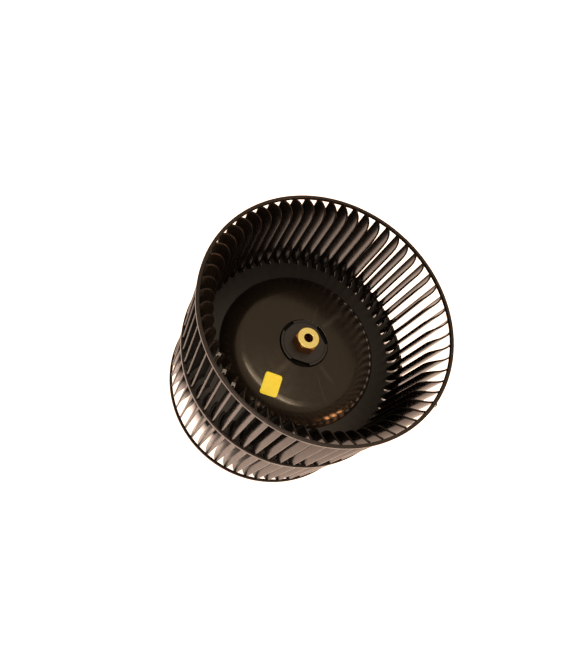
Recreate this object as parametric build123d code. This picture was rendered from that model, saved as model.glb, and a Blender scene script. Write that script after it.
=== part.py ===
from build123d import *
import os
from math import sin, cos, radians, degrees, atan2, hypot, sqrt, asin, pi

# Double-inlet blower wheel: two rows of forward-curved blades on a common
# middle web, a raised dish in the middle, and a hexagonal brass bushing.
# Millimetres. The spin axis is Z, the origin is the centre of the wheel's
# bounding box, and +Z points out of the front inlet (the side that the hub
# bushing stands proud on).  Heights in the comments are from the mid-plane
# of the web, which lies Z_MID above the origin.

# ---------------------------------------------------------------- dimensions
R_OUT = 101.6            # wheel radius (8 in diameter)
Z_FRONT = 83.8           # front rim face above the web mid-plane
Z_REAR = 90.5            # rear rim face below the web mid-plane
Z_MID = (Z_REAR - Z_FRONT) / 2.0     # web mid-plane above the origin
RING_IN = 99.0           # inner radius of the three rings
RING_H = 2.9             # axial thickness of the front and rear rings
MID_H = 4.2              # axial thickness of the middle ring
WEB_T = 2.9              # thickness of the web between the blade rows
SEAT = 0.02              # seating gap of the blades at the web and rings
N_BLADE = 59             # blades in each row
PITCH = 360.0 / N_BLADE
BL_IN = 85.85            # blade inner radius
BL_OUT = 100.1           # blade tip radius, inside the ring outline
BL_RHO = 14.8            # blade centre-line radius
BL_A0 = -3.0             # centre-line angle from radial at the inner end
BL_T_ROOT = 2.0          # blade thickness at the web
BL_T_RIM = 1.3           # blade thickness at the rim (mould draft)
BL_SKEW = -0.85          # turn of the rim section against the root section
PHASE_F = 5.0            # angle of a front blade's inner end at the web
PHASE_R = PHASE_F - PITCH / 2.0      # rear row stands half a pitch off
FLANGE_IN = 70.3         # inner radius of the flat annulus
DISH_T = 2.4             # dish wall thickness
SPLIT_R = 48.0           # where the curved shoulder meets the dish top
TOP_Z = 14.3             # dish top above mid-plane at the shoulder
TOP_Z_HUB = 16.2         # dish top above mid-plane where it meets the hub ring
COLLAR_OUT = 28.0        # flush ring that joins the hub to the dish top
COLLAR_IN = 21.5
COLLAR_Z = 16.8          # height of the ring beside the hub disc
DISC_R = 20.9            # hub disc radius
DISC_Z = 17.8            # hub disc face above mid-plane
GROOVE_R = 18.6          # fine groove in the disc face
NOTCHES = ((20.0, 17.0, 4.2), (130.0, 12.0, 2.8), (250.0, 17.0, 3.4))   # angle, length, depth inwards
CORE_R = 15.0            # hub core behind the dish
CORE_Z0 = -1.5
HEX_AF = 19.05           # brass bushing across flats (3/4 in)
FACE_R = 9.1            # round front face of the bushing
HEX_Z1 = 28.2            # bushing front face above mid-plane
HEX_LEN = 31.75          # bushing length (1-1/4 in)
HEX_TURN = 47.0          # turn of the hexagon about the axis
BORE_R = 3.97            # shaft bore radius (5/16 in)
SCREW_R = 2.36           # set screw radius (No. 10)
SCREW_HOLE_R = 2.42
SCREW_Z = 23.4           # set screw height above mid-plane
SCREW_DIR = 77.0         # direction of the hexagon's flat that the screw goes through
SCREW_IN = 4.15          # inner end of the screw from the spin axis
SCREW_LEN = 5.2
CLIPS = ((32, 94.0), (33, 96.6), (34, 96.9))   # front blade, radius of the balance clip on it
LABEL_X, LABEL_Y = -32.7, -34.9      # centre of the inspection label
LABEL_W, LABEL_H = 17.6, 13.8
LABEL_TURN = 20.0

OUT = "parts"
os.makedirs(OUT, exist_ok=True)


def up(shape):
    """Move a shape drawn about the web mid-plane into the part's frame."""
    return Pos(0, 0, Z_MID) * shape


def save(shape, name):
    export_step(up(shape), OUT + "/" + name + ".step")


def ring(r0, r1, z0, z1, fil=0.0, which=None):
    b = Circle(r1) - Circle(r0)
    s = extrude(Pos(0, 0, z0) * b, amount=z1 - z0)
    if fil:
        es = [e for e in s.edges() if e.geom_type == GeomType.CIRCLE and (which is None or which(e))]
        s = fillet(es, fil)
    return s


def revolve_rz(pts, splines=()):
    """Revolve a closed outline given as (r, z) points and splines."""
    with BuildPart() as bp:
        with BuildSketch(Plane.XZ) as sk:
            with BuildLine():
                i = 0
                segs = pts
                for seg in segs:
                    if len(seg) == 2:
                        Line(*seg)
                    else:
                        Spline(*seg)
            make_face()
        revolve(axis=Axis.Z)
    return bp.part


# ---------------------------------------------------------------- blades
def centre(phi):
    """Blade centre line: phi is its angle from radial, in degrees."""
    u = BL_RHO * (sin(radians(phi)) - sin(radians(BL_A0)))
    v = BL_RHO * (cos(radians(BL_A0)) - cos(radians(phi)))
    return BL_IN + u, v


ARC_C = (BL_IN - BL_RHO * sin(radians(BL_A0)), BL_RHO * cos(radians(BL_A0)))


def on_side(phi, off):
    """Point on the blade side that lies off from the centre line.
    The arc's centre is on the concave side, so off > 0 is convex."""
    rr = BL_RHO + off
    return (ARC_C[0] + rr * sin(radians(phi)), ARC_C[1] - rr * cos(radians(phi)))


def phi_at(radius, off):
    lo, hi = BL_A0, 85.0
    for _ in range(60):
        mid = (lo + hi) / 2
        x, y = on_side(mid, off)
        if hypot(x, y) < radius:
            lo = mid
        else:
            hi = mid
    return (lo + hi) / 2


def section(t, turn, z):
    """Closed blade section of thickness t, turned about the axis."""
    def T(p):
        a = radians(turn)
        return (p[0] * cos(a) - p[1] * sin(a), p[0] * sin(a) + p[1] * cos(a), z)
    h = t / 2
    pv, pc = phi_at(BL_OUT, h), phi_at(BL_OUT, -h)
    a = T(on_side(BL_A0, h))
    b = T(on_side(pv, h))
    c = T(on_side(pc, -h))
    d = T(on_side(BL_A0, -h))
    m1 = T(on_side((BL_A0 + pv) / 2, h))
    m2 = T(on_side((BL_A0 + pc) / 2, -h))
    # rounded inner end
    x0, y0 = centre(BL_A0)
    nose = T((x0 - 0.45 * t * cos(radians(BL_A0)), y0 - 0.45 * t * sin(radians(BL_A0))))
    am = atan2((b[1] + c[1]) / 2, (b[0] + c[0]) / 2)
    tip = (BL_OUT * cos(am), BL_OUT * sin(am), z)
    w = Wire([
        Edge.make_three_point_arc(a, m1, b),
        Edge.make_three_point_arc(b, tip, c),
        Edge.make_three_point_arc(c, m2, d),
        Edge.make_three_point_arc(d, nose, a),
    ])
    return Face(w)


def blade(side, z_end, phase):
    """One blade, from the web out to the rim; side is +1 front, -1 rear."""
    z0 = WEB_T / 2 + SEAT
    f0 = section(BL_T_ROOT, phase, side * z0)
    f1 = section(BL_T_RIM, phase + BL_SKEW, side * z_end)
    solid = loft([f0, f1], ruled=True)
    zt = z_end - RING_H - SEAT
    r_seat = RING_IN - SEAT
    prof = [(r_seat, z_end - 0.8), (96.0, z_end - 1.4), (93.5, z_end - 2.6),
            (91.0, z_end - 4.6), (89.0, z_end - 7.3), (87.3, z_end - 11.3),
            (86.2, z_end - 16.3), (84.6, z_end - 25.0)]
    pts = [((x, side * z)) for x, z in prof]
    zm = MID_H / 2 + SEAT        # the blade's tip clears the middle ring
    env = revolve_rz([
        [(82.0, side * z0), (r_seat, side * z0)],
        [(r_seat, side * z0), (r_seat, side * zm)],
        [(r_seat, side * zm), (103.0, side * zm)],
        [(103.0, side * zm), (103.0, side * zt)],
        [(103.0, side * zt), (r_seat, side * zt)],
        [(r_seat, side * zt), pts[0]],
        pts,
        [pts[-1], (82.0, pts[-1][1])],
        [(82.0, pts[-1][1]), (82.0, side * z0)],
    ])
    return solid & env


def row(one):
    sol = one.solids()[0]
    out = [Rot(0, 0, k * PITCH) * sol for k in range(N_BLADE)]
    return Compound(children=out)


front_one = blade(1, Z_FRONT, PHASE_F)
rear_one = blade(-1, Z_REAR, PHASE_R)
save(row(front_one), "front_blades")
save(row(rear_one), "rear_blades")

# ---------------------------------------------------------------- rings
front_rim = ring(RING_IN, R_OUT, Z_FRONT - RING_H, Z_FRONT, 0.45,
                 lambda e: e.center().Z > Z_FRONT - 0.1 or e.radius > R_OUT - 0.5)
# small moulded nib on the outside of the front rim
nib = Rot(0, 0, -47.7) * Pos(R_OUT + 0.2, 0, Z_FRONT - RING_H / 2) * Box(2.2, 4.6, RING_H - 0.9)
nib = nib - ring(RING_IN - 2, R_OUT, Z_FRONT - RING_H - 1, Z_FRONT + 1)
front_rim = front_rim + nib
save(front_rim, "front_rim")

rear_rim = ring(RING_IN, R_OUT, -Z_REAR, -Z_REAR + RING_H, 0.45,
                lambda e: e.center().Z < -Z_REAR + 0.1 or e.radius > R_OUT - 0.5)
save(rear_rim, "rear_rim")

mid_ring = ring(RING_IN, R_OUT, -MID_H / 2, MID_H / 2, 0.5, lambda e: e.radius > R_OUT - 0.5)
save(mid_ring, "mid_ring")


# ---------------------------------------------------------------- web
def turned(p, turn):
    a = radians(turn)
    return (p[0] * cos(a) - p[1] * sin(a), p[0] * sin(a) + p[1] * cos(a))


def slot_face():
    """Open slot between the concave side of a rear blade and the convex
    side of the next front blade; the web is solid everywhere else."""
    h = BL_T_ROOT / 2
    r_top = RING_IN
    pa = phi_at(r_top, -h)
    pb = phi_at(r_top, h)
    ra = PHASE_R                 # rear blade, concave side
    fb = PHASE_F                 # next front blade, convex side
    r_in = BL_IN + 0.05
    pa0 = phi_at(r_in, -h)
    pb0 = phi_at(r_in, h)
    A0 = turned(on_side(pa0, -h), ra)
    A1 = turned(on_side(pa, -h), ra)
    AM = turned(on_side((pa0 + pa) / 2, -h), ra)
    B0 = turned(on_side(pb0, h), fb)
    B1 = turned(on_side(pb, h), fb)
    BM = turned(on_side((pb0 + pb) / 2, h), fb)
    m = atan2((A1[1] + B1[1]) / 2, (A1[0] + B1[0]) / 2)
    TM = (r_top * cos(m), r_top * sin(m))
    m0 = atan2((A0[1] + B0[1]) / 2, (A0[0] + B0[0]) / 2)
    BMID = (r_in * cos(m0), r_in * sin(m0))
    e = [Edge.make_three_point_arc((*A0, 0), (*AM, 0), (*A1, 0)),
         Edge.make_three_point_arc((*A1, 0), (*TM, 0), (*B1, 0)),
         Edge.make_three_point_arc((*B1, 0), (*BM, 0), (*B0, 0)),
         Edge.make_three_point_arc((*B0, 0), (*BMID, 0), (*A0, 0))]
    return Face(Wire(e))


slot = extrude(Pos(0, 0, -WEB_T) * slot_face(), amount=2 * WEB_T)
web = ring(FLANGE_IN, RING_IN, -WEB_T / 2, WEB_T / 2)
web = web - [Rot(0, 0, k * PITCH) * slot for k in range(N_BLADE)]
save(web, "blade_web")

# ---------------------------------------------------------------- dish
front_pts = [(FLANGE_IN, WEB_T / 2), (69.55, 3.9), (67.6, 6.9), (64.4, 9.7),
             (60.2, 11.8), (55.6, 13.25), (51.6, 13.93), (SPLIT_R, TOP_Z)]


def offset_pts(pts, d):
    out = []
    n = len(pts)
    for i, (x, z) in enumerate(pts):
        x0, z0 = pts[max(0, i - 1)]
        x1, z1 = pts[min(n - 1, i + 1)]
        tx, tz = x1 - x0, z1 - z0
        L = hypot(tx, tz)
        nx, nz = tz / L, -tx / L      # points outwards and up
        if nz < 0:
            nx, nz = -nx, -nz
        out.append((x - nx * d, z - nz * d))
    return out


under = offset_pts(front_pts, DISH_T)
under[-1] = (SPLIT_R, TOP_Z - DISH_T)
under = [(FLANGE_IN - DISH_T, -WEB_T / 2)] + under[1:]
dish_wall = revolve_rz([
    front_pts,
    [(SPLIT_R, TOP_Z), (SPLIT_R, TOP_Z - DISH_T)],
    list(reversed(under)),
    [under[0], (FLANGE_IN, -WEB_T / 2)],
    [(FLANGE_IN, -WEB_T / 2), (FLANGE_IN, WEB_T / 2)],
])
save(dish_wall, "dish_wall")

dish_top = revolve_rz([
    [(SPLIT_R, TOP_Z), (SPLIT_R, TOP_Z - DISH_T)],
    [(SPLIT_R, TOP_Z - DISH_T), (COLLAR_OUT, TOP_Z_HUB - DISH_T)],
    [(COLLAR_OUT, TOP_Z_HUB - DISH_T), (COLLAR_OUT, TOP_Z_HUB)],
    [(COLLAR_OUT, TOP_Z_HUB), (SPLIT_R, TOP_Z)],
])
save(dish_top, "dish_top")

# ---------------------------------------------------------------- hub
hub_collar = revolve_rz([
    [(COLLAR_IN, TOP_Z_HUB - DISH_T), (COLLAR_IN, COLLAR_Z)],
    [(COLLAR_IN, COLLAR_Z), (COLLAR_OUT - SEAT, TOP_Z_HUB)],
    [(COLLAR_OUT - SEAT, TOP_Z_HUB), (COLLAR_OUT - SEAT, TOP_Z_HUB - DISH_T)],
    [(COLLAR_OUT - SEAT, TOP_Z_HUB - DISH_T), (COLLAR_IN, TOP_Z_HUB - DISH_T)],
])
save(hub_collar, "hub_collar")

hex_face = RegularPolygon(HEX_AF / 2, 6, major_radius=False)
hex_prism = Rot(0, 0, HEX_TURN) * extrude(Pos(0, 0, HEX_Z1 - HEX_LEN) * hex_face, amount=HEX_LEN)

# solid floor that ties the collar to the core, under the hub disc
DISC_Z0 = 14.8
hub_core = (ring(1.0, CORE_R, CORE_Z0, DISC_Z0) + ring(1.0, COLLAR_IN - SEAT, TOP_Z_HUB - DISH_T, DISC_Z0))
hub_core = hub_core - hex_prism
save(hub_core, "hub_core")

hub_disc = ring(1.0, DISC_R, DISC_Z0, DISC_Z, 0.5, lambda e: e.center().Z > DISC_Z - 0.1 and e.radius > 5)
hub_disc = hub_disc - hex_prism
hub_disc = hub_disc - ring(GROOVE_R - 0.25, GROOVE_R + 0.25, DISC_Z - 0.4, DISC_Z + 1)
# three open recesses in the edge of the disc
for a, length, inwards in NOTCHES:
    hub_disc = hub_disc - Rot(0, 0, a) * Pos(DISC_R + 2.0 - (inwards + 2.0) / 2, 0, DISC_Z) * Box(inwards + 2.0, length, 4.4)
save(hub_disc, "hub_disc")

# six short gussets behind the dish, between the core and the dish top
FALL = (TOP_Z_HUB - TOP_Z) / (SPLIT_R - COLLAR_OUT)      # slope of the dish top
gus = []
for k in range(6):
    with BuildPart() as g:
        with BuildSketch(Plane.XZ.offset(-1.1)):
            with BuildLine():
                Polyline((CORE_R + 0.02, 0.5), (33.0, TOP_Z_HUB - DISH_T - 1.6),
                         (33.0, TOP_Z_HUB - DISH_T - 0.05 - (33.0 - COLLAR_OUT) * FALL), (COLLAR_OUT, TOP_Z_HUB - DISH_T - 0.05),
                         (CORE_R + 0.02, TOP_Z_HUB - DISH_T - 0.05), (CORE_R + 0.02, 0.5))
            make_face()
        extrude(amount=2.2)
    gus.append(Rot(0, 0, 30 + 60 * k) * g.part.solids()[0])
save(Compound(children=gus), "hub_gussets")

# ---------------------------------------------------------------- bushing
drop = (HEX_AF / sqrt(3.0) + 0.6 - FACE_R) * 0.58
cap = revolve_rz([
    [(0.0, HEX_Z1 - HEX_LEN - 1), (0.0, HEX_Z1)],
    [(0.0, HEX_Z1), (FACE_R, HEX_Z1)],
    [(FACE_R, HEX_Z1), (HEX_AF / sqrt(3.0) + 0.6, HEX_Z1 - drop)],
    [(HEX_AF / sqrt(3.0) + 0.6, HEX_Z1 - drop), (HEX_AF / sqrt(3.0) + 0.6, HEX_Z1 - HEX_LEN - 1)],
    [(HEX_AF / sqrt(3.0) + 0.6, HEX_Z1 - HEX_LEN - 1), (0.0, HEX_Z1 - HEX_LEN - 1)],
])
bushing = hex_prism & cap
bushing = bushing - Pos(0, 0, 0) * extrude(Pos(0, 0, HEX_Z1 - HEX_LEN - 2) * Circle(BORE_R), amount=HEX_LEN + 4)
flat_dir = SCREW_DIR
hole = Rot(0, 0, flat_dir) * Pos(0, 0, SCREW_Z) * Rot(0, 90, 0) * Pos(0, 0, 8.0) * Cylinder(SCREW_HOLE_R, 16.0)
bushing = bushing - hole
save(bushing, "brass_bushing")

screw = Rot(0, 0, flat_dir) * Pos(0, 0, SCREW_Z) * Rot(0, 90, 0) * Pos(0, 0, SCREW_IN + SCREW_LEN / 2) * Cylinder(SCREW_R, SCREW_LEN)
sock = Rot(0, 0, flat_dir) * Pos(0, 0, SCREW_Z) * Rot(0, 90, 0) * Pos(0, 0, SCREW_IN + SCREW_LEN - 2.4) * extrude(RegularPolygon(1.2, 6, major_radius=False), amount=3.0)
screw = screw - sock
save(screw, "set_screw")

# ---------------------------------------------------------------- trim
# three spring-steel balance clips, each folded over the front edge of one
# front blade beside the rim and gripping both sides of the blade
clips = []
for k, clip_r in CLIPS:
    half = BL_T_RIM / 2 + 0.22
    ph = phi_at(clip_r, 0.0)
    x, y = on_side(ph, 0.0)
    ang = PHASE_F + BL_SKEW + k * PITCH
    body = Box(2.2, 2 * (half + 0.3), 3.4) - Pos(0, 0, -0.4) * Box(4.0, 2 * half, 3.4)
    top = Z_FRONT - (0.4 if clip_r > 95.0 else 0.9)
    clips.append(Rot(0, 0, ang) * Pos(x, y, top - 1.7) * Rot(0, 0, ph) * body)
save(Compound(children=[c.solids()[0] for c in clips]), "balance_clips")

# thin square paper inspection label on the dish top
lab = RectangleRounded(LABEL_W, LABEL_H, 1.6)
lr = hypot(LABEL_X, LABEL_Y)
tilt = degrees(atan2(TOP_Z_HUB - TOP_Z, SPLIT_R - COLLAR_OUT))
la = degrees(atan2(LABEL_Y, LABEL_X))
label = extrude(lab, amount=0.15)
zc = TOP_Z + (SPLIT_R - lr) * (TOP_Z_HUB - TOP_Z) / (SPLIT_R - COLLAR_OUT)
label = Pos(LABEL_X, LABEL_Y, zc + 0.09) * Rot(0, 0, la) * Rot(0, tilt, 0) * Rot(0, 0, LABEL_TURN) * label
save(label, "inspection_label")
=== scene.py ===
import math
import random
import bpy
import numpy as np
from mathutils import Matrix, Vector


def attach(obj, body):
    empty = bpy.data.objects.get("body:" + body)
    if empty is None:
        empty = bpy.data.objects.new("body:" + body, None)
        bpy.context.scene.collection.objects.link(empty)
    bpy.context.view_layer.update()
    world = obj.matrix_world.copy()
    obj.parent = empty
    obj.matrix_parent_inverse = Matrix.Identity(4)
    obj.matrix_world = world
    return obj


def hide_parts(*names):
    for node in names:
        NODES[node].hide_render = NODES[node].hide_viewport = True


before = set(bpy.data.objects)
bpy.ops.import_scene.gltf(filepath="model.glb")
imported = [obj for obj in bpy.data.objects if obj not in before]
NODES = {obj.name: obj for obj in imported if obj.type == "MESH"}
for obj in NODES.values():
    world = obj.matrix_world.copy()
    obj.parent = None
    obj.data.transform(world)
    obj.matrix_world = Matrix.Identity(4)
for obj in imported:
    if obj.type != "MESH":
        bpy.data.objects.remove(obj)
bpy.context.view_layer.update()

scene = bpy.context.scene
MM = 0.001

# ------------------------------------------------------------------ numbers
# Millimetres about the web's mid-plane, turned into the frame's metres by P().
Z_FRONT, Z_REAR = 83.8, 90.5
Z_MID = (Z_REAR - Z_FRONT) / 2.0
R_OUT, RING_IN, RING_H, WEB_T = 101.6, 99.0, 2.9, 2.9
N_BLADE = 59
PITCH = 360.0 / N_BLADE
BL_IN, BL_OUT, BL_RHO, BL_A0 = 85.85, 100.1, 14.8, -3.0
T_ROOT, T_RIM, SKEW = 2.0, 1.3, -0.85
PHASE_F = 5.0
PHASE_R = PHASE_F - PITCH / 2.0
FLANGE_IN = 70.3
rng = random.Random(7)


def P(x, y, z):
    return (x * MM, y * MM, (z + Z_MID) * MM)


def new_mesh(name, verts, faces, mat, body="wheel", smooth=True):
    me = bpy.data.meshes.new(name)
    me.from_pydata([tuple(v) for v in verts], [], [tuple(f) for f in faces])
    me.validate()
    me.update()
    ob = bpy.data.objects.new(name, me)
    scene.collection.objects.link(ob)
    me.materials.append(mat)
    if smooth:
        me.polygons.foreach_set("use_smooth", [True] * len(me.polygons))
    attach(ob, body)
    return ob


# ------------------------------------------------------------------ nodes
def mat_new(name):
    m = bpy.data.materials.new(name)
    m.use_nodes = True
    nt = m.node_tree
    for n in list(nt.nodes):
        nt.nodes.remove(n)
    out = nt.nodes.new("ShaderNodeOutputMaterial")
    bsdf = nt.nodes.new("ShaderNodeBsdfPrincipled")
    nt.links.new(bsdf.outputs[0], out.inputs[0])
    return m, nt, bsdf


def N(nt, kind, **kw):
    n = nt.nodes.new(kind)
    for k, v in kw.items():
        if k.startswith("i_"):
            n.inputs[k[2:].replace("_", " ")].default_value = v
        else:
            setattr(n, k, v)
    return n


def noise(nt, coord, scale, detail=4.0, rough=0.55, stretch=None):
    src = coord
    if stretch is not None:
        mp = N(nt, "ShaderNodeMapping")
        mp.inputs["Scale"].default_value = stretch
        nt.links.new(coord, mp.inputs["Vector"])
        src = mp.outputs[0]
    n = N(nt, "ShaderNodeTexNoise")
    n.inputs["Scale"].default_value = scale
    n.inputs["Detail"].default_value = detail
    n.inputs["Roughness"].default_value = rough
    nt.links.new(src, n.inputs["Vector"])
    return n.outputs["Fac"]


def ramp(nt, fac, stops):
    r = N(nt, "ShaderNodeValToRGB")
    cr = r.color_ramp
    while len(cr.elements) < len(stops):
        cr.elements.new(0.5)
    for e, (p, c) in zip(cr.elements, stops):
        e.position = p
        e.color = (*c, 1.0) if len(c) == 3 else c
    nt.links.new(fac, r.inputs[0])
    return r.outputs[0]


def maprange(nt, fac, a, b, c, d):
    r = N(nt, "ShaderNodeMapRange")
    for k, v in zip(("From Min", "From Max", "To Min", "To Max"), (a, b, c, d)):
        r.inputs[k].default_value = v
    nt.links.new(fac, r.inputs["Value"])
    return r.outputs[0]


def mixc(nt, fac, a, b, blend="MIX"):
    m = N(nt, "ShaderNodeMix", data_type="RGBA", blend_type=blend)
    if isinstance(fac, (int, float)):
        m.inputs[0].default_value = fac
    else:
        nt.links.new(fac, m.inputs[0])
    for sock, v in ((m.inputs[6], a), (m.inputs[7], b)):
        if isinstance(v, tuple):
            sock.default_value = (*v, 1.0) if len(v) == 3 else v
        else:
            nt.links.new(v, sock)
    return m.outputs[2]


def bump(nt, bsdf, heights):
    prev = None
    for h, strength, dist in heights:
        b = N(nt, "ShaderNodeBump")
        b.inputs["Strength"].default_value = strength
        b.inputs["Distance"].default_value = dist
        nt.links.new(h, b.inputs["Height"])
        if prev is not None:
            nt.links.new(prev, b.inputs["Normal"])
        prev = b.outputs[0]
    nt.links.new(prev, bsdf.inputs["Normal"])


def plastic(name, dark, light, r0, r1, dust=0.0, grain=1.0, spec=0.5, tint=(1.0, 1.0, 1.0)):
    m, nt, bsdf = mat_new(name)
    bsdf.inputs["Specular Tint"].default_value = (*tint, 1.0)
    co = N(nt, "ShaderNodeTexCoord").outputs["Object"]
    big = noise(nt, co, 34.0, 5.0, 0.6)
    fine = noise(nt, co, 900.0, 4.0, 0.6)
    mid = noise(nt, co, 210.0, 5.0, 0.65)
    col = ramp(nt, big, [(0.3, dark), (0.7, light)])
    # pale dust and scuffs lie in specks
    speck = maprange(nt, noise(nt, co, 1500.0, 3.0, 0.7), 0.66, 0.80, 0.0, dust)
    col = mixc(nt, speck, col, (0.10, 0.085, 0.07))
    # worn edges: slightly paler where the surface is convex
    geo = N(nt, "ShaderNodeNewGeometry")
    edge = maprange(nt, geo.outputs["Pointiness"], 0.53, 0.66, 0.0, 0.45)
    col = mixc(nt, edge, col, (0.045, 0.038, 0.034))
    nt.links.new(col, bsdf.inputs["Base Color"])
    rr = maprange(nt, mid, 0.3, 0.7, r0, r1)
    nt.links.new(rr, bsdf.inputs["Roughness"])
    bsdf.inputs["Specular IOR Level"].default_value = spec
    bump(nt, bsdf, [(big, 0.10 * grain, 0.0008), (mid, 0.12 * grain, 0.00012), (fine, 0.10 * grain, 0.00004)])
    return m


M_PLASTIC = plastic("black_moulding", (0.0050, 0.0045, 0.0038), (0.0090, 0.0081, 0.0068), 0.30, 0.42, 0.15, 0.35, 0.36)
M_BLADE = plastic("blade_moulding", (0.0045, 0.0042, 0.0038), (0.0088, 0.0079, 0.0070), 0.16, 0.27, 0.14, 0.5, 0.19, (1.0, 0.84, 0.74))
M_RIM = plastic("rim_moulding", (0.0085, 0.0074, 0.0070), (0.0160, 0.0138, 0.0130), 0.26, 0.40, 0.28, 0.6, 0.36, (1.0, 0.93, 0.90))
M_DISH = plastic("dish_moulding", (0.0070, 0.0054, 0.0040), (0.0125, 0.0096, 0.0070), 0.15, 0.23, 0.22, 0.4, 0.48, (1.0, 0.90, 0.75))
M_HUB = plastic("hub_moulding", (0.0065, 0.0056, 0.0048), (0.0115, 0.0098, 0.0082), 0.34, 0.46, 0.25, 0.9)

# faint pale flow lines from moulding, on the dish only
nt = M_DISH.node_tree
bsdf = [n for n in nt.nodes if n.type == "BSDF_PRINCIPLED"][0]
co = [n for n in nt.nodes if n.type == "TEX_COORD"][0].outputs["Object"]
base = bsdf.inputs["Base Color"].links[0].from_socket
warp = maprange(nt, noise(nt, co, 60.0, 3.0, 0.5), 0.2, 0.8, -0.0022, 0.0022)
for th, w, r0, r1, amount in ((35, 0.0034, 0.026, 0.046, 0.5), (225, 0.0040, 0.024, 0.040, 0.55), (300, 0.0026, 0.026, 0.036, 0.45),
                              (285, 0.0007, 0.030, 0.050, 0.5), (62, 0.0016, 0.026, 0.036, 0.3)):
    c, sn = math.cos(math.radians(th)), math.sin(math.radians(th))
    along = N(nt, "ShaderNodeVectorMath", operation="DOT_PRODUCT")
    nt.links.new(co, along.inputs[0])
    along.inputs[1].default_value = (c, sn, 0.0)
    across = N(nt, "ShaderNodeVectorMath", operation="DOT_PRODUCT")
    nt.links.new(co, across.inputs[0])
    across.inputs[1].default_value = (-sn, c, 0.0)
    sh = N(nt, "ShaderNodeMath", operation="ADD")
    nt.links.new(across.outputs["Value"], sh.inputs[0])
    nt.links.new(warp, sh.inputs[1])
    ab = N(nt, "ShaderNodeMath", operation="ABSOLUTE")
    nt.links.new(sh.outputs[0], ab.inputs[0])
    fa = maprange(nt, ab.outputs[0], 0.0, w, amount, 0.0)
    fb = maprange(nt, along.outputs["Value"], r0 - 0.004, r0, 0.0, 1.0)
    fc = maprange(nt, along.outputs["Value"], r1, r1 + 0.008, 1.0, 0.0)
    m1 = N(nt, "ShaderNodeMath", operation="MULTIPLY")
    nt.links.new(fa, m1.inputs[0])
    nt.links.new(fb, m1.inputs[1])
    m2 = N(nt, "ShaderNodeMath", operation="MULTIPLY")
    nt.links.new(m1.outputs[0], m2.inputs[0])
    nt.links.new(fc, m2.inputs[1])
    base = mixc(nt, m2.outputs[0], base, (0.060, 0.055, 0.048))
nt.links.new(base, bsdf.inputs["Base Color"])

# painted shade: the floors of the hub disc's recesses are painted near-black and given little specular, standing in
# for the shade in them
nt = M_HUB.node_tree
bsdf = [n for n in nt.nodes if n.type == "BSDF_PRINCIPLED"][0]
co = [n for n in nt.nodes if n.type == "TEX_COORD"][0].outputs["Object"]
sep = N(nt, "ShaderNodeSeparateXYZ")
nt.links.new(co, sep.inputs[0])
# mask of the painted shade: 1 on the recess floors, 0 above them
painted_recess_shade = maprange(nt, sep.outputs["Z"], (17.30 + Z_MID) * MM, (17.55 + Z_MID) * MM, 1.0, 0.0)
nt.links.new(mixc(nt, painted_recess_shade, bsdf.inputs["Base Color"].links[0].from_socket, (0.0015, 0.0013, 0.0013)), bsdf.inputs["Base Color"])
nt.links.new(maprange(nt, painted_recess_shade, 0.0, 1.0, 0.5, 0.06), bsdf.inputs["Specular IOR Level"])

m, nt, bsdf = mat_new("brass")
co = N(nt, "ShaderNodeTexCoord").outputs["Object"]
n1 = noise(nt, co, 120.0, 5.0, 0.6)
n2 = noise(nt, co, 1400.0, 3.0, 0.6)
draw = noise(nt, co, 900.0, 3.0, 0.6, (1.0, 1.0, 0.05))
bcol = ramp(nt, n1, [(0.25, (0.74, 0.38, 0.10)), (0.75, (0.88, 0.52, 0.17))])
bcol = mixc(nt, maprange(nt, n2, 0.60, 0.75, 0.0, 0.5), bcol, (0.42, 0.20, 0.07))
# the drawn sides and the chamfer are darker and redder, the turned face is brighter
sep = N(nt, "ShaderNodeSeparateXYZ")
nt.links.new(co, sep.inputs[0])
face = maprange(nt, sep.outputs["Z"], (28.12 + Z_MID) * MM, (28.18 + Z_MID) * MM, 0.0, 1.0)
bright = ramp(nt, n1, [(0.25, (0.98, 0.80, 0.27)), (0.75, (1.0, 0.90, 0.34))])
nt.links.new(mixc(nt, face, mixc(nt, 0.7, bcol, (0.33, 0.115, 0.024)), bright), bsdf.inputs["Base Color"])
bsdf.inputs["Metallic"].default_value = 0.85
nt.links.new(maprange(nt, n1, 0.3, 0.7, 0.16, 0.27), bsdf.inputs["Roughness"])
bev = N(nt, "ShaderNodeBevel", samples=6)
bev.inputs["Radius"].default_value = 0.00045
bump(nt, bsdf, [(n2, 0.12, 0.00003), (draw, 0.15, 0.00003)])
for nd in nt.nodes:
    if nd.type == "BUMP" and not nd.inputs["Normal"].is_linked:
        nt.links.new(bev.outputs[0], nd.inputs["Normal"])
M_BRASS = m

m, nt, bsdf = mat_new("screw_steel")
co = N(nt, "ShaderNodeTexCoord").outputs["Object"]
n1 = noise(nt, co, 500.0, 4.0, 0.6)
nt.links.new(ramp(nt, n1, [(0.3, (0.05, 0.05, 0.052)), (0.7, (0.11, 0.11, 0.115))]), bsdf.inputs["Base Color"])
bsdf.inputs["Metallic"].default_value = 1.0
nt.links.new(maprange(nt, n1, 0.3, 0.7, 0.3, 0.5), bsdf.inputs["Roughness"])
bump(nt, bsdf, [(n1, 0.2, 0.00004)])
M_SCREW = m

m, nt, bsdf = mat_new("clip_steel")
co = N(nt, "ShaderNodeTexCoord").outputs["Object"]
n1 = noise(nt, co, 700.0, 4.0, 0.6)
nt.links.new(ramp(nt, n1, [(0.3, (0.13, 0.13, 0.125)), (0.7, (0.24, 0.24, 0.23))]), bsdf.inputs["Base Color"])
bsdf.inputs["Metallic"].default_value = 1.0
nt.links.new(maprange(nt, n1, 0.3, 0.7, 0.25, 0.45), bsdf.inputs["Roughness"])
bump(nt, bsdf, [(n1, 0.2, 0.00004)])
M_CLIP = m

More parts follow.
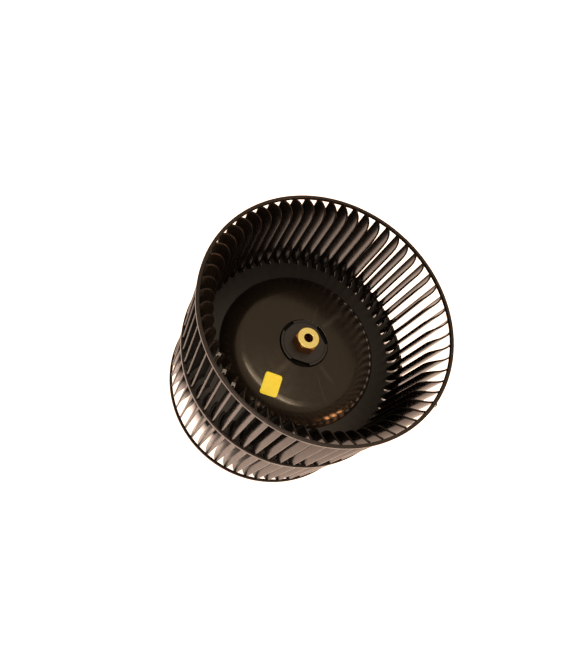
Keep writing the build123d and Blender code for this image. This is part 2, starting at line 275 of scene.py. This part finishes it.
m, nt, bsdf = mat_new("label_paper")
co = N(nt, "ShaderNodeTexCoord").outputs["Object"]
n1 = noise(nt, co, 260.0, 5.0, 0.6)
n2 = noise(nt, co, 1800.0, 3.0, 0.6)
nt.links.new(ramp(nt, n1, [(0.25, (0.90, 0.70, 0.012)), (0.75, (0.99, 0.84, 0.03))]), bsdf.inputs["Base Color"])
nt.links.new(maprange(nt, n2, 0.3, 0.7, 0.35, 0.5), bsdf.inputs["Roughness"])
bump(nt, bsdf, [(n1, 0.25, 0.0002), (n2, 0.2, 0.00003)])
# painted light: the label paper glows faintly yellow, though it is no lamp
bsdf.inputs["Emission Color"].default_value = (1.0, 0.80, 0.04, 1)
bsdf.inputs["Emission Strength"].default_value = 0.22
M_LABEL = m


# ------------------------------------------------------------------ lathe
def lathe(name, prof, mat, segs=360, closed=True, replaces=(), smooth=True):
    """prof is a list of (r, z) in mm about the mid-plane, in order round the outline."""
    verts, faces = [], []
    n = len(prof)
    for k in range(segs):
        a = 2 * math.pi * k / segs
        c, s = math.cos(a), math.sin(a)
        for r, z in prof:
            verts.append(P(r * c, r * s, z))
    for k in range(segs):
        k2 = (k + 1) % segs
        for i in range(n if closed else n - 1):
            j = (i + 1) % n
            faces.append((k * n + i, k2 * n + i, k2 * n + j, k * n + j))
    ob = new_mesh(name, verts, faces, mat, smooth=smooth)
    if replaces:
        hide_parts(*replaces)
    return ob


def round_corners(pts, radii, steps=5):
    """Rounds the corners of a closed outline."""
    out = []
    n = len(pts)
    for i in range(n):
        p = np.array(pts[i], float)
        a = np.array(pts[i - 1], float)
        b = np.array(pts[(i + 1) % n], float)
        r = radii[i] if isinstance(radii, (list, tuple)) else radii
        if r <= 0:
            out.append(tuple(p))
            continue
        u, v = a - p, b - p
        lu, lv = np.linalg.norm(u), np.linalg.norm(v)
        u, v = u / lu, v / lv
        ang = math.acos(max(-1, min(1, float(u @ v))))
        d = min(r / math.tan(ang / 2), 0.49 * lu, 0.49 * lv)
        rr = d * math.tan(ang / 2)
        bis = (u + v) / np.linalg.norm(u + v)
        cen = p + bis * (rr / math.sin(ang / 2))
        s0, s1 = p + u * d, p + v * d
        a0 = math.atan2(*(s0 - cen)[::-1])
        a1 = math.atan2(*(s1 - cen)[::-1])
        da = (a1 - a0 + math.pi) % (2 * math.pi) - math.pi
        for k in range(steps + 1):
            t = a0 + da * k / steps
            out.append((cen[0] + rr * math.cos(t), cen[1] + rr * math.sin(t)))
    return out


def subdivide(pts, most):
    out = []
    n = len(pts)
    for i in range(n):
        a, b = np.array(pts[i]), np.array(pts[(i + 1) % n])
        L = np.linalg.norm(b - a)
        k = max(1, int(math.ceil(L / most)))
        for j in range(k):
            out.append(tuple(a + (b - a) * j / k))
    return out


def ring_prof(r0, r1, z0, z1, r):
    return round_corners([(r0, z0), (r1, z0), (r1, z1), (r0, z1)], r, 4)


lathe("front_rim_ring", ring_prof(RING_IN, R_OUT, Z_FRONT - RING_H, Z_FRONT, [0.25, 0.5, 0.6, 0.35]), M_RIM, 480)
lathe("rear_rim_ring", ring_prof(RING_IN, R_OUT, -Z_REAR, -Z_REAR + RING_H, [0.35, 0.6, 0.5, 0.25]), M_RIM, 480, replaces=("rear_rim",))
lathe("middle_ring", ring_prof(RING_IN, R_OUT, -2.1, 2.1, [0.2, 0.6, 0.6, 0.2]), M_RIM, 480, replaces=("mid_ring",))
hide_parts("front_rim")

# nib outside the front rim
a = math.radians(-47.7)
nib_v, nib_f = [], []
for i in range(9):
    t = (i / 8 - 0.5) * 2
    ang = a + t * 2.25 / R_OUT
    h = 1.25 * (1 - abs(t) ** 3.0)
    for z in (-0.5, -1.0, -1.9, -2.4):
        rr = R_OUT - 0.15 + (h if z in (-1.0, -1.9) else h * 0.75)
        nib_v.append(P(rr * math.cos(ang), rr * math.sin(ang), Z_FRONT + z))
for i in range(8):
    for j in range(3):
        nib_f.append((i * 4 + j, (i + 1) * 4 + j, (i + 1) * 4 + j + 1, i * 4 + j + 1))
new_mesh("front_rim_nib", nib_v, nib_f, M_RIM)

# dish
front_pts = [(FLANGE_IN, WEB_T / 2), (69.55, 3.9), (67.6, 6.9), (64.4, 9.7),
             (60.2, 11.8), (55.6, 13.25), (51.6, 13.93), (48.0, 14.3)]


def catmull(pts, per=8):
    pts = [np.array(p, float) for p in pts]
    ext = [2 * pts[0] - pts[1]] + pts + [2 * pts[-1] - pts[-2]]
    out = []
    for i in range(1, len(ext) - 2):
        p0, p1, p2, p3 = ext[i - 1], ext[i], ext[i + 1], ext[i + 2]
        for k in range(per):
            t = k / per
            out.append(tuple(0.5 * ((2 * p1) + (-p0 + p2) * t + (2 * p0 - 5 * p1 + 4 * p2 - p3) * t * t + (-p0 + 3 * p1 - 3 * p2 + p3) * t ** 3)))
    out.append(tuple(pts[-1]))
    return out


def offset(pts, d):
    out = []
    for i, (x, z) in enumerate(pts):
        x0, z0 = pts[max(0, i - 1)]
        x1, z1 = pts[min(len(pts) - 1, i + 1)]
        L = math.hypot(x1 - x0, z1 - z0)
        nx, nz = (z1 - z0) / L, -(x1 - x0) / L
        if nz < 0:
            nx, nz = -nx, -nz
        out.append((x - nx * d, z - nz * d))
    return out


top = catmull(front_pts, 6)
under = offset(top, 2.4)
under = [(67.9, -1.45)] + [p for p in under if p[1] > -0.8 and p[0] < 67.7]
plateau = [(44.0, 14.68), (40.0, 15.06), (36.0, 15.44), (32.0, 15.82), (28.0, 16.2), (25.0, 16.46), (22.6, 16.69), (22.1, 16.72), (21.7, 16.66), (21.5, 16.45)]
plateau_b = [(21.5, 13.9), (28.0, 13.75), (34.0, 13.2), (40.0, 12.65), (44.0, 12.3)]
prof = top + plateau + plateau_b + list(reversed(under)) + [(FLANGE_IN, -1.45)]
lathe("dish", prof, M_DISH, 360, replaces=("dish_wall", "dish_top", "hub_collar"))

for n in ("blade_web", "hub_core", "hub_disc", "hub_gussets"):
    o = NODES[n]
    o.data.materials.clear()
    o.data.materials.append(M_HUB if n != "blade_web" else M_PLASTIC)
for n, mm_ in (("brass_bushing", M_BRASS), ("set_screw", M_SCREW), ("balance_clips", M_CLIP), ("inspection_label", M_LABEL)):
    NODES[n].data.materials.clear()
    NODES[n].data.materials.append(mm_)


# ------------------------------------------------------------------ blades
ARC_C = (BL_IN - BL_RHO * math.sin(math.radians(BL_A0)), BL_RHO * math.cos(math.radians(BL_A0)))


def on_side(phi, off):
    rr = BL_RHO + off
    return ARC_C[0] + rr * math.sin(math.radians(phi)), ARC_C[1] - rr * math.cos(math.radians(phi))


def phi_at(radius, off=0.0):
    lo, hi = BL_A0 - 3, 85.0
    for _ in range(50):
        mid = (lo + hi) / 2
        x, y = on_side(mid, off)
        if math.hypot(x, y) < radius:
            lo = mid
        else:
            hi = mid
    return (lo + hi) / 2


PROFILE = [(84.6, 25.0), (86.2, 16.3), (87.3, 11.3), (89.0, 7.3), (91.0, 4.6), (93.5, 2.6), (96.0, 1.4), (98.98, 0.8)]


def drop_at(r):
    """How far the blade's end lies below the rim's face at radius r."""
    if r >= RING_IN - 0.02:
        return RING_H
    xs = [p[0] for p in PROFILE]
    ys = [p[1] for p in PROFILE]
    return float(np.interp(r, xs, ys))


def blade_mesh(side, z_end, phase):
    """Verts (mm about the mid-plane) and faces of one blade."""
    NS, NZ = 26, 22
    phi_out = phi_at(BL_OUT)
    # chord stations crowd at both ends, for the rounded edges
    u = np.linspace(0, 1, NS + 1)
    u = 0.5 - 0.5 * np.cos(np.pi * u)
    u = 0.55 * u + 0.45 * np.linspace(0, 1, NS + 1)
    phis = BL_A0 + (phi_out - BL_A0) * u
    L = BL_RHO * math.radians(phi_out - BL_A0)
    w = np.linspace(0, 1, NZ + 1)
    w = 1 - (1 - w) ** 1.7
    V = []
    z0 = WEB_T / 2 - 0.3
    smooth_r = []
    for i, ph in enumerate(phis):
        x, y = on_side(ph, 0)
        r = math.hypot(x, y)
        zt = z_end - drop_at(r)
        smooth_r.append((r, zt))
    grid = np.zeros((2, NS + 1, NZ + 1, 3))
    for i, ph in enumerate(phis):
        r, zt = smooth_r[i]
        s = u[i] * L
        for j in range(NZ + 1):
            z = z0 + (zt - z0) * w[j]
            f = (z - WEB_T / 2) / (z_end - WEB_T / 2)
            t = T_ROOT + (T_RIM - T_ROOT) * max(0, f)
            h = t / 2
            nose = min(1.0, s / (1.1 * h))
            tail = min(1.0, (L - s) / (0.9 * h))
            a = math.sqrt(max(0.0, 1 - (1 - nose) ** 2)) * math.sqrt(max(0.0, 1 - (1 - tail) ** 2))
            d = zt - z
            b = min(1.0, d / (0.8 * h))
            b = math.sqrt(max(0.0, 1 - (1 - b) ** 2))
            # fillet at the root
            dr = z - WEB_T / 2
            fil = 0.0
            if dr < 1.0:
                q = 1 - max(0.0, dr)
                fil = 1.0 - math.sqrt(max(0.0, 1 - q * q))
            hh = h * a * b
            turn = phase + SKEW * max(0, f)
            ca, sa = math.cos(math.radians(turn)), math.sin(math.radians(turn))
            for k, sg in enumerate((1, -1)):
                px, py = on_side(ph, sg * (hh + fil * (0.7 if a > 0.5 else 0.0)))
                grid[k, i, j] = (px * ca - py * sa, px * sa + py * ca, side * z)
    idx = np.arange(2 * (NS + 1) * (NZ + 1)).reshape(2, NS + 1, NZ + 1)
    V = grid.reshape(-1, 3)
    F = []
    for i in range(NS):
        for j in range(NZ):
            F.append((idx[0, i, j], idx[0, i + 1, j], idx[0, i + 1, j + 1], idx[0, i, j + 1]))
            F.append((idx[1, i, j], idx[1, i, j + 1], idx[1, i + 1, j + 1], idx[1, i + 1, j]))
        # foot
        F.append((idx[0, i, 0], idx[1, i, 0], idx[1, i + 1, 0], idx[0, i + 1, 0]))
    if side < 0:
        F = [tuple(reversed(f)) for f in F]
    return V, F


def blade_row(name, side, z_end, phase, node, keep=None):
    V, F = blade_mesh(side, z_end, phase)
    # weld coincident edge vertices of the two sides
    key, remap, uniq = {}, [], []
    for v in V:
        k = tuple(np.round(v, 4))
        if k not in key:
            key[k] = len(uniq)
            uniq.append(v)
        remap.append(key[k])
    U = np.array(uniq)
    FF = []
    for f in F:
        g = []
        for i in f:
            q = remap[i]
            if q not in g:
                g.append(q)
        if len(g) >= 3:
            FF.append(g)
    verts, faces = [], []
    for b in range(N_BLADE):
        t = math.radians(b * PITCH)
        c, s = math.cos(t), math.sin(t)
        off = len(verts)
        for x, y, z in U:
            verts.append(P(x * c - y * s, x * s + y * c, z))
        for g in FF:
            faces.append([q + off for q in g])
    ob = new_mesh(name, verts, faces, M_BLADE)
    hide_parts(node)
    return ob


blade_row("front_blade_row", 1, Z_FRONT, PHASE_F, "front_blades")
blade_row("rear_blade_row", -1, Z_REAR, PHASE_R, "rear_blades")

# ------------------------------------------------------------------ label
top_r = np.array([p[0] for p in (top + plateau)])[::-1]
top_z = np.array([p[1] for p in (top + plateau)])[::-1]


def dish_z(r):
    return float(np.interp(r, top_r, top_z))


LX, LY, LW, LH = -32.7, -34.9, 18.8, 14.6
turn = math.atan2(LY, LX) + math.radians(20.0)
ct, st = math.cos(turn), math.sin(turn)
NU, NV = 36, 28
lv, lf = [], []
for layer in (0.16, 0.0):
    for i in range(NU + 1):
        for j in range(NV + 1):
            u, v = 2 * i / NU - 1, 2 * j / NV - 1
            # rounded corners by a superellipse squeeze
            q = (abs(u) ** 9 + abs(v) ** 9) ** (1 / 9.0)
            mx = max(abs(u), abs(v), 1e-6)
            f = mx / max(q, 1e-6)
            x, y = u * f * LW / 2, v * f * LH / 2
            X, Y = LX + x * ct - y * st, LY + x * st + y * ct
            lift = layer + 0.10 * max(0.0, mx - 0.9) * (1 if (u > 0 and v > 0) else 0) * 10 * (0.5 if layer else 0.4)
            lv.append(P(X, Y, dish_z(math.hypot(X, Y)) + lift))
M1 = (NU + 1) * (NV + 1)
for i in range(NU):
    for j in range(NV):
        a0 = i * (NV + 1) + j
        lf.append((a0, a0 + NV + 1, a0 + NV + 2, a0 + 1))
border = [i * (NV + 1) for i in range(NU + 1)] + [NU * (NV + 1) + j for j in range(1, NV + 1)]
border += [i * (NV + 1) + NV for i in range(NU - 1, -1, -1)] + [j for j in range(NV - 1, 0, -1)]
for q in range(len(border)):
    a0, a1 = border[q], border[(q + 1) % len(border)]
    lf.append((a1, a0, a0 + M1, a1 + M1))
lv = lv[:M1] + [lv[M1 + b] if (b in set(border)) else lv[M1 + b] for b in range(M1)]
lab = new_mesh("label_sheet", lv, lf, M_LABEL)
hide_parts("inspection_label")
lab.visible_glossy = False

# ------------------------------------------------------------------ stage
def emis_mat(name, col, emit, strength):
    m, nt, bsdf = mat_new(name)
    bsdf.inputs["Base Color"].default_value = (*col, 1)
    bsdf.inputs["Roughness"].default_value = 0.9
    bsdf.inputs["Emission Color"].default_value = (*emit, 1)
    bsdf.inputs["Emission Strength"].default_value = strength
    return m


me = bpy.data.meshes.new("floor")
S = 6.0
zf = -0.0872
me.from_pydata([(-S, -S, zf), (S, -S, zf), (S, S, zf), (-S, S, zf)], [], [(0, 1, 2, 3)])
floor = bpy.data.objects.new("floor", me)
scene.collection.objects.link(floor)
mf = emis_mat("pale_floor", (0.55, 0.50, 0.46), (1.0, 0.75, 0.61), 1.0)
ntf = mf.node_tree
bf = [n for n in ntf.nodes if n.type == "BSDF_PRINCIPLED"][0]
cof = N(ntf, "ShaderNodeTexCoord").outputs["Object"]


def near(cx, cy, r0, r1, most):
    """1 close to the point (cx, cy) on the floor, 0 away from it."""
    mp = N(ntf, "ShaderNodeMapping")
    mp.inputs["Scale"].default_value = (1.0, 1.0, 0.0)
    mp.inputs["Location"].default_value = (-cx, -cy, 0.0)
    ntf.links.new(cof, mp.inputs["Vector"])
    ln = N(ntf, "ShaderNodeVectorMath", operation="LENGTH")
    ntf.links.new(mp.outputs[0], ln.inputs[0])
    return maprange(ntf, ln.outputs["Value"], r0, r1, most, 0.0)


# the floor is in shade under the wheel and a little to its right
mx = N(ntf, "ShaderNodeMath", operation="MAXIMUM")
ntf.links.new(near(0.0, 0.0, 0.080, 0.089, 1.0), mx.inputs[0])
ntf.links.new(near(0.074, 0.010, 0.072, 0.084, 0.95), mx.inputs[1])
ntf.links.new(maprange(ntf, mx.outputs[0], 0.0, 1.0, 1.75, 0.01), bf.inputs["Emission Strength"])
ntf.links.new(mixc(ntf, mx.outputs[0], (0.55, 0.50, 0.46), (0.05, 0.045, 0.042)), bf.inputs["Base Color"])
me.materials.append(mf)

world = bpy.data.worlds.new("studio")
scene.world = world
world.use_nodes = True
ntw = world.node_tree
bg = [n for n in ntw.nodes if n.type == "BACKGROUND"][0]
cow = N(ntw, "ShaderNodeTexCoord").outputs["Generated"]
dotw = N(ntw, "ShaderNodeVectorMath", operation="DOT_PRODUCT")
ntw.links.new(cow, dotw.inputs[0])
dotw.inputs[1].default_value = (0.33, 0.36, 0.87)
rw = ramp(ntw, maprange(ntw, dotw.outputs["Value"], -1.0, 1.0, 0.0, 1.0),
          [(0.0, (0.24, 0.175, 0.135)), (0.70, (0.33, 0.24, 0.18)), (0.88, (1.0, 0.77, 0.55)), (1.0, (1.0, 0.79, 0.58))])
ntw.links.new(rw, bg.inputs[0])
bg.inputs[1].default_value = 0.75
# seen directly, above the floor's horizon, the backdrop is plain and pale
pale = N(ntw, "ShaderNodeBackground")
pale.inputs[0].default_value = (1.0, 0.985, 0.97, 1.0)
pale.inputs[1].default_value = 1.0
mixw = N(ntw, "ShaderNodeMixShader")
ntw.links.new(N(ntw, "ShaderNodeLightPath").outputs["Is Camera Ray"], mixw.inputs[0])
ntw.links.new(bg.outputs[0], mixw.inputs[1])
ntw.links.new(pale.outputs[0], mixw.inputs[2])
outw = [n for n in ntw.nodes if n.type == "OUTPUT_WORLD"][0]
ntw.links.new(mixw.outputs[0], outw.inputs["Surface"])


def area(name, loc, target, size, power, col):
    ld = bpy.data.lights.new(name, "AREA")
    ld.shape = "DISK"
    ld.size = size
    ld.energy = power
    ld.color = col
    ob = bpy.data.objects.new(name, ld)
    scene.collection.objects.link(ob)
    ob.location = loc
    d = Vector(target) - Vector(loc)
    ob.rotation_mode = "QUATERNION"
    ob.rotation_quaternion = d.to_track_quat("-Z", "Y")
    return ob


def strip(name, loc, target, sx, sy, power, col, roll=0.0):
    ob = area(name, loc, target, 1.0, power, col)
    ob.data.shape = "RECTANGLE"
    ob.data.size, ob.data.size_y = sx, sy
    # long axis level, square to the line from the hub to the label
    zax = (Vector(loc) - Vector(target)).normalized()
    xax = Vector((math.cos(math.radians(-43)), math.sin(math.radians(-43)), 0.0))
    xax = (xax - zax * xax.dot(zax)).normalized()
    yax = zax.cross(xax)
    ob.rotation_quaternion = Matrix((xax, yax, zax)).transposed().to_quaternion()
    return ob


area("key", (-0.9, -1.2, 0.9), (0, 0, 0), 0.7, 6.5, (1.0, 0.72, 0.57))
area("side", (0.85, -0.90, 0.42), (0, 0, -0.01), 0.45, 11.0, (1.0, 0.46, 0.20))
strip("overhead", (0.08, 0.03, 1.6), (0, 0, 0), 0.80, 0.14, 4.5, (1.0, 0.84, 0.68))

# ------------------------------------------------------------------ camera
cd = bpy.data.cameras.new("camera")
cam = bpy.data.objects.new("camera", cd)
scene.collection.objects.link(cam)
cd.sensor_fit = "AUTO"
cd.sensor_width = 36.0
cd.lens = 28.156
cd.clip_start = 0.01
cd.clip_end = 50.0
right = Vector((0.94452, -0.12516, 0.30367))
up = Vector((0.0, 0.92455, 0.38105))
back = Vector((-0.32845, -0.35991, 0.87326))
loc = Vector((-0.15718, -0.14880, 0.40190 + Z_MID * MM))
cam.matrix_world = Matrix(((right.x, up.x, back.x, loc.x), (right.y, up.y, back.y, loc.y), (right.z, up.z, back.z, loc.z), (0, 0, 0, 1)))
scene.camera = cam

scene.view_settings.view_transform = "Standard"
scene.view_settings.look = "None"
scene.view_settings.exposure = 0.0
scene.view_settings.gamma = 1.0
